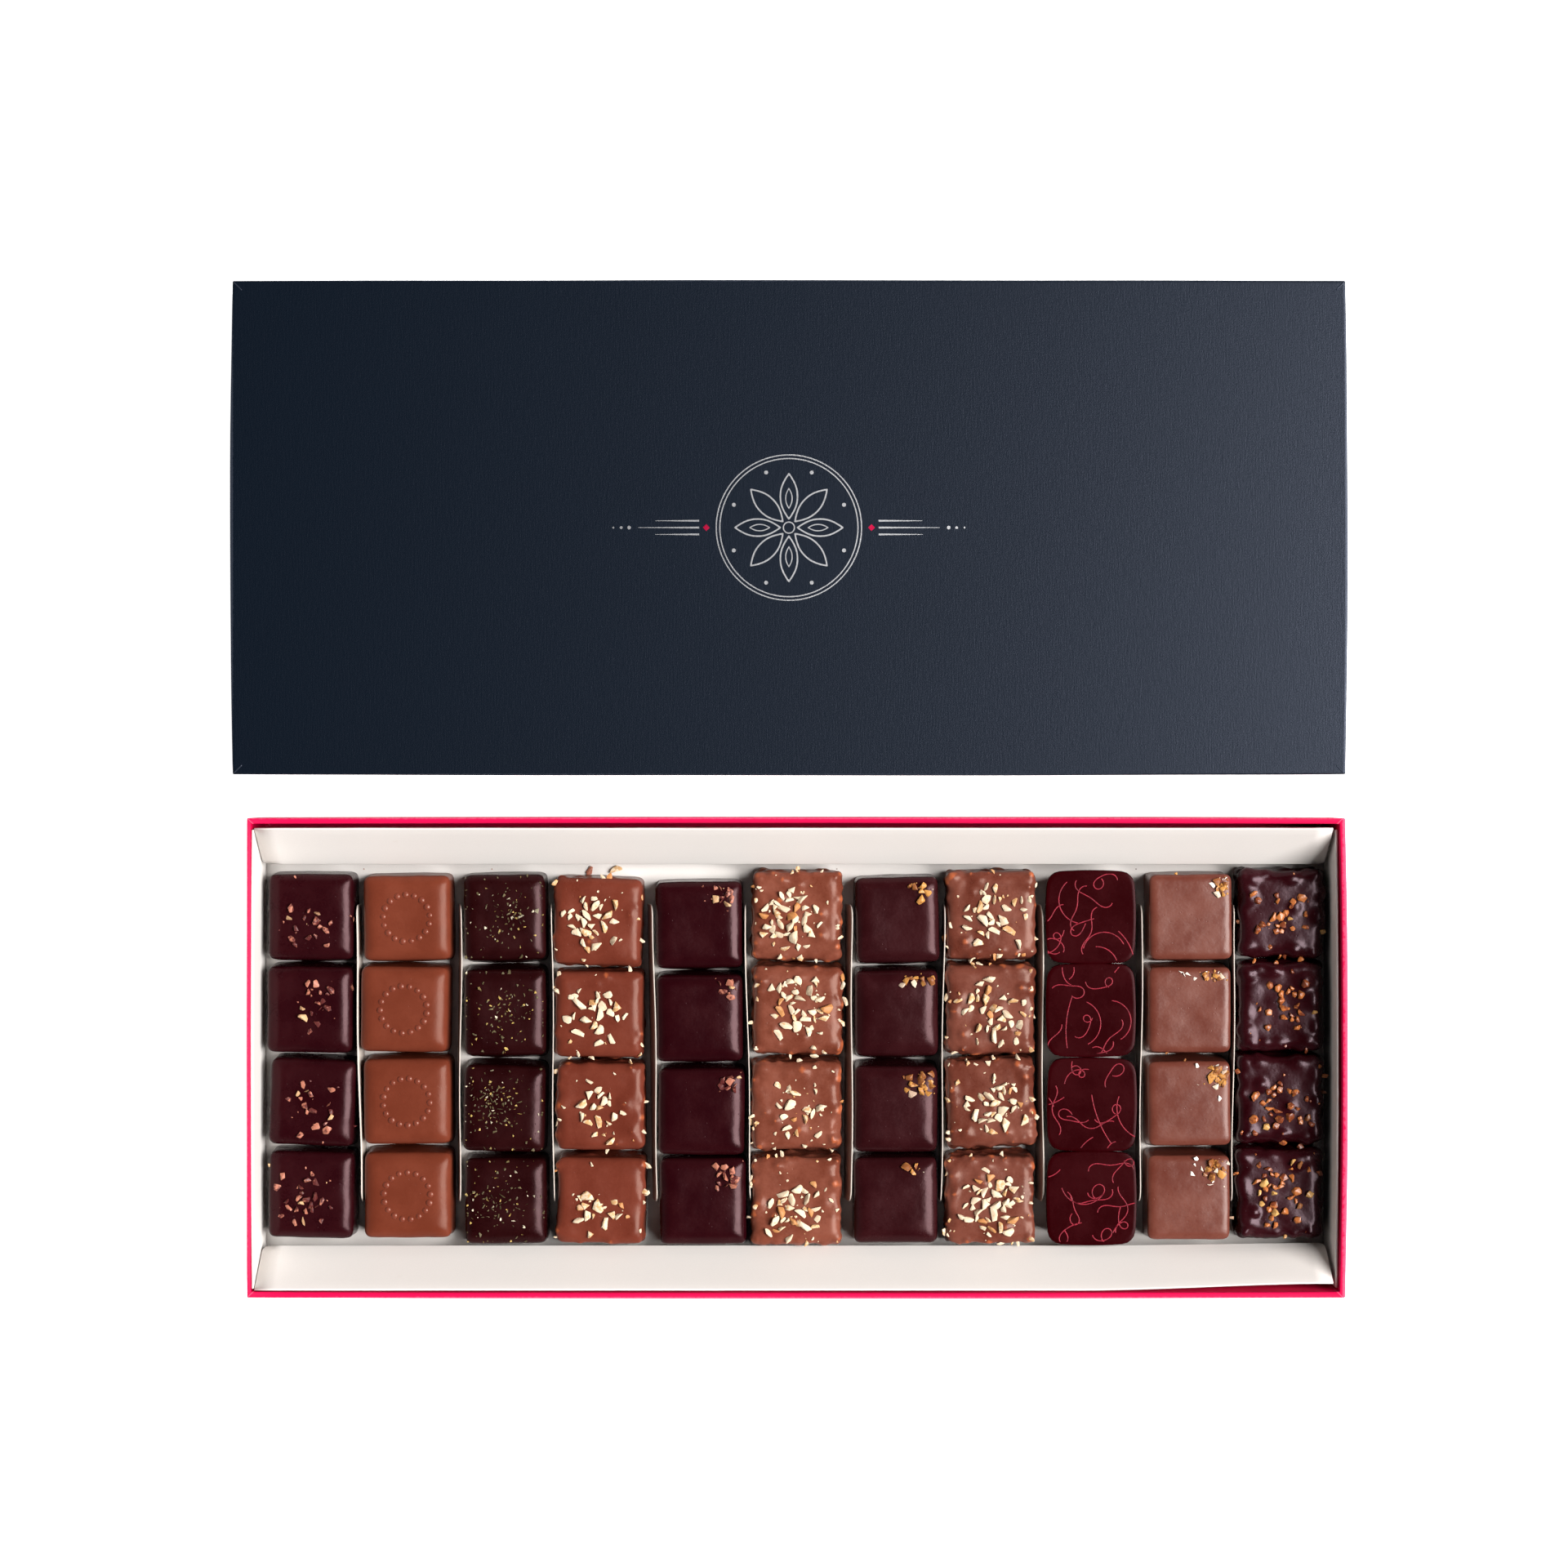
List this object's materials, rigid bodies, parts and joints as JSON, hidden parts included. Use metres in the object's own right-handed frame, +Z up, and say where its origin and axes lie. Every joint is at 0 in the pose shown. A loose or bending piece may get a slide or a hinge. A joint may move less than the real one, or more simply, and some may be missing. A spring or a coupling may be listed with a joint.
{
  "type": "box of chocolate pralines",
  "caption": "Open long rectangular praline box with a folded card liner, card strips between columns of square enrobed chocolates, and its lift-off lid lying beside it.",
  "frame": {"origin": "middle of the underside of the open box, on the surface it stands on", "axes": "+X along the box, +Y from the front of the box towards the lid lying behind it, +Z up"},
  "size_m": [0.31, 0.2831, 0.028],
  "materials": {
    "red_paper": "matte raspberry red covering paper on rigid board",
    "navy_paper": "matte dark navy linen-grained covering paper on rigid board",
    "white_card": "smooth warm white folding card",
    "nib_dark": "satin dark chocolate with scattered cocoa nibs",
    "ring_milk": "satin milk chocolate with a ring of small raised dots",
    "herb_dark": "satin dark chocolate with fine green and yellow herb flecks",
    "nut_milk": "satin milk chocolate with chopped roasted nuts",
    "corner_nib_dark": "satin dark chocolate with cocoa nibs at one corner",
    "crunch_milk": "satin milk chocolate, lumpy over its crunchy filling, with chopped almonds",
    "corner_brittle_dark": "satin dark chocolate with golden brittle at one corner",
    "crunch_nut_milk": "satin milk chocolate, lumpy over its crunchy filling, with chopped hazelnuts",
    "printed_dark": "glossy dark chocolate with thin red printed curls",
    "corner_flake_milk": "satin milk chocolate with golden flakes and white slivers at one corner",
    "caramel_dark": "semi-gloss dark chocolate, lumpy, with caramelised nut pieces",
    "cocoa_nibs": "broken roasted cocoa nibs with paler skins",
    "herb_flecks": "fine dried herb and peel, cream, yellow and grey green",
    "chopped_nuts": "chopped roasted nuts, cream with browner edges",
    "golden_brittle": "golden brittle and flakes with a few white slivers",
    "caramel_nuts": "chopped nuts in glossy brown caramel",
    "red_print": "thin red cocoa butter print",
    "silver_foil": "hot stamped silver foil lines"
  },
  "bodies": {
    "root": {"box_tray": "red_paper", "lid": "navy_paper", "liner": "white_card", "nib_dark_1": "nib_dark", "nib_dark_2": "nib_dark", "nib_dark_3": "nib_dark", "nib_dark_4": "nib_dark", "ring_milk_1": "ring_milk", "ring_milk_2": "ring_milk", "ring_milk_3": "ring_milk", "ring_milk_4": "ring_milk", "herb_dark_1": "herb_dark", "herb_dark_2": "herb_dark", "herb_dark_3": "herb_dark", "herb_dark_4": "herb_dark", "nut_milk_1": "nut_milk", "nut_milk_2": "nut_milk", "nut_milk_3": "nut_milk", "nut_milk_4": "nut_milk", "corner_nib_dark_1": "corner_nib_dark", "corner_nib_dark_2": "corner_nib_dark", "corner_nib_dark_3": "corner_nib_dark", "corner_nib_dark_4": "corner_nib_dark", "crunch_milk_1": "crunch_milk", "crunch_milk_2": "crunch_milk", "crunch_milk_3": "crunch_milk", "crunch_milk_4": "crunch_milk", "corner_brittle_dark_1": "corner_brittle_dark", "corner_brittle_dark_2": "corner_brittle_dark", "corner_brittle_dark_3": "corner_brittle_dark", "corner_brittle_dark_4": "corner_brittle_dark", "crunch_nut_milk_1": "crunch_nut_milk", "crunch_nut_milk_2": "crunch_nut_milk", "crunch_nut_milk_3": "crunch_nut_milk", "crunch_nut_milk_4": "crunch_nut_milk", "printed_dark_1": "printed_dark", "printed_dark_2": "printed_dark", "printed_dark_3": "printed_dark", "printed_dark_4": "printed_dark", "corner_flake_milk_1": "corner_flake_milk", "corner_flake_milk_2": "corner_flake_milk", "corner_flake_milk_3": "corner_flake_milk", "corner_flake_milk_4": "corner_flake_milk", "caramel_dark_1": "caramel_dark", "caramel_dark_2": "caramel_dark", "caramel_dark_3": "caramel_dark", "caramel_dark_4": "caramel_dark", "strip_1": "white_card", "strip_2": "white_card", "strip_3": "white_card", "strip_4": "white_card", "strip_5": "white_card", "strip_6": "white_card", "strip_7": "white_card", "strip_8": "white_card", "strip_9": "white_card", "strip_10": "white_card"}
  },
  "joints": []
}
